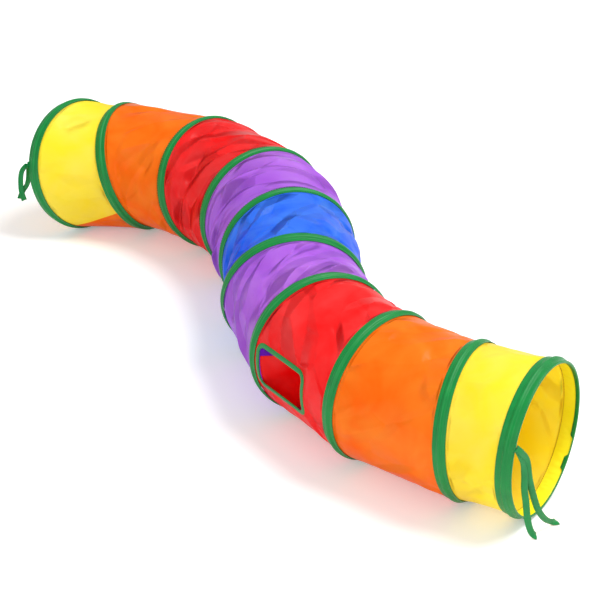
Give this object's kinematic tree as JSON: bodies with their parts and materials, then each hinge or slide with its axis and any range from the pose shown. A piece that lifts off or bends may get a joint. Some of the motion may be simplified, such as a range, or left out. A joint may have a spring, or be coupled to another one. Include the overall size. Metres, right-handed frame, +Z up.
{
  "type": "cat tunnel",
  "caption": "Pop-up cat tunnel: coloured cloth panels on spring-steel hoops with green bindings, a bound side window and tie ribbons at both mouths, laid in an S.",
  "frame": {"origin": "on the floor, under the middle of the tunnel's box without its ribbons", "axes": "+X runs from the far mouth to the near mouth, along the straight line between the two ends of the S; +Z is up"},
  "size_m": [1.3879, 0.4846, 0.2469],
  "materials": {
    "green_tape": "satin woven tape",
    "yellow_cloth": "shiny thin polyester taffeta",
    "orange_cloth": "shiny thin polyester taffeta",
    "red_cloth": "shiny thin polyester taffeta",
    "purple_cloth": "shiny thin polyester taffeta",
    "blue_cloth": "shiny thin polyester taffeta",
    "spring_steel": "drawn wire",
    "ferrule_metal": "crimped tube"
  },
  "bodies": {
    "section_1": {"hoop_1": "spring_steel", "ferrule_1": "ferrule_metal", "binding_1": "green_tape", "panel_1_yellow": "yellow_cloth", "far_tie_tab": "green_tape", "far_ribbon_a": "green_tape", "far_ribbon_b": "green_tape"},
    "section_2": {"hoop_2": "spring_steel", "ferrule_2": "ferrule_metal", "binding_2": "green_tape", "panel_2_orange": "orange_cloth"},
    "section_3": {"hoop_3": "spring_steel", "ferrule_3": "ferrule_metal", "binding_3": "green_tape", "panel_3_red": "red_cloth"},
    "section_4": {"hoop_4": "spring_steel", "ferrule_4": "ferrule_metal", "binding_4": "green_tape", "panel_4_purple": "purple_cloth"},
    "section_5": {"hoop_5": "spring_steel", "ferrule_5": "ferrule_metal", "binding_5": "green_tape"},
    "section_6": {"hoop_6": "spring_steel", "ferrule_6": "ferrule_metal", "binding_6": "green_tape", "panel_5_blue": "blue_cloth"},
    "section_7": {"hoop_7": "spring_steel", "ferrule_7": "ferrule_metal", "binding_7": "green_tape", "panel_6_purple": "purple_cloth"},
    "section_8": {"hoop_8": "spring_steel", "ferrule_8": "ferrule_metal", "binding_8": "green_tape", "panel_7_red": "red_cloth", "window_binding": "green_tape"},
    "section_9": {"hoop_9": "spring_steel", "ferrule_9": "ferrule_metal", "binding_9": "green_tape", "panel_8_orange": "orange_cloth"},
    "section_10": {"hoop_10": "spring_steel", "ferrule_10": "ferrule_metal", "binding_10": "green_tape", "panel_9_yellow": "yellow_cloth", "near_tie_tab": "green_tape", "near_ribbon_a": "green_tape", "near_ribbon_b": "green_tape"}
  },
  "joints": [
    {"name": "fold_4", "type": "hinge", "parent": "section_5", "child": "section_4", "pos_m": [-0.36762, -0.60421, 0], "axis": [0, 0, 1], "range_deg": [-12, 0], "deforming": ["panel_4_purple"]},
    {"name": "fold_3", "type": "hinge", "parent": "section_4", "child": "section_3", "pos_m": [-0.38114, -0.32448, 0], "axis": [0, 0, 1], "range_deg": [-14, 0], "deforming": ["panel_3_red"]},
    {"name": "fold_2", "type": "hinge", "parent": "section_3", "child": "section_2", "pos_m": [-0.44185, -0.17795, 0], "axis": [0, 0, 1], "range_deg": [-25, 0], "deforming": ["panel_2_orange"]},
    {"name": "fold_1", "type": "hinge", "parent": "section_2", "child": "section_1", "pos_m": [-0.67262, 0.12233, 0], "axis": [0, 0, 1], "range_deg": [0, 18], "deforming": ["panel_1_yellow"]},
    {"name": "fold_5", "type": "hinge", "parent": "section_5", "child": "section_6", "pos_m": [-0.3235, -0.72364, 0], "axis": [0, 0, 1], "range_deg": [0, 7], "deforming": ["panel_5_blue"]},
    {"name": "fold_6", "type": "hinge", "parent": "section_6", "child": "section_7", "pos_m": [0.33556, 0.40804, 0], "axis": [0, 0, 1], "range_deg": [-14, 0], "deforming": ["panel_6_purple"]},
    {"name": "fold_7", "type": "hinge", "parent": "section_7", "child": "section_8", "pos_m": [0.32251, 0.23581, 0], "axis": [0, 0, 1], "range_deg": [-22, 0], "deforming": ["panel_7_red", "window_binding"]},
    {"name": "fold_8", "type": "hinge", "parent": "section_8", "child": "section_9", "pos_m": [0.35748, 0.30501, 0], "axis": [0, 0, 1], "range_deg": [-17, 0], "deforming": ["panel_8_orange"]},
    {"name": "fold_9", "type": "hinge", "parent": "section_9", "child": "section_10", "pos_m": [1.09137, -1.1697, 0], "axis": [0, 0, 1], "range_deg": [0, 3], "deforming": ["panel_9_yellow"]}
  ]
}
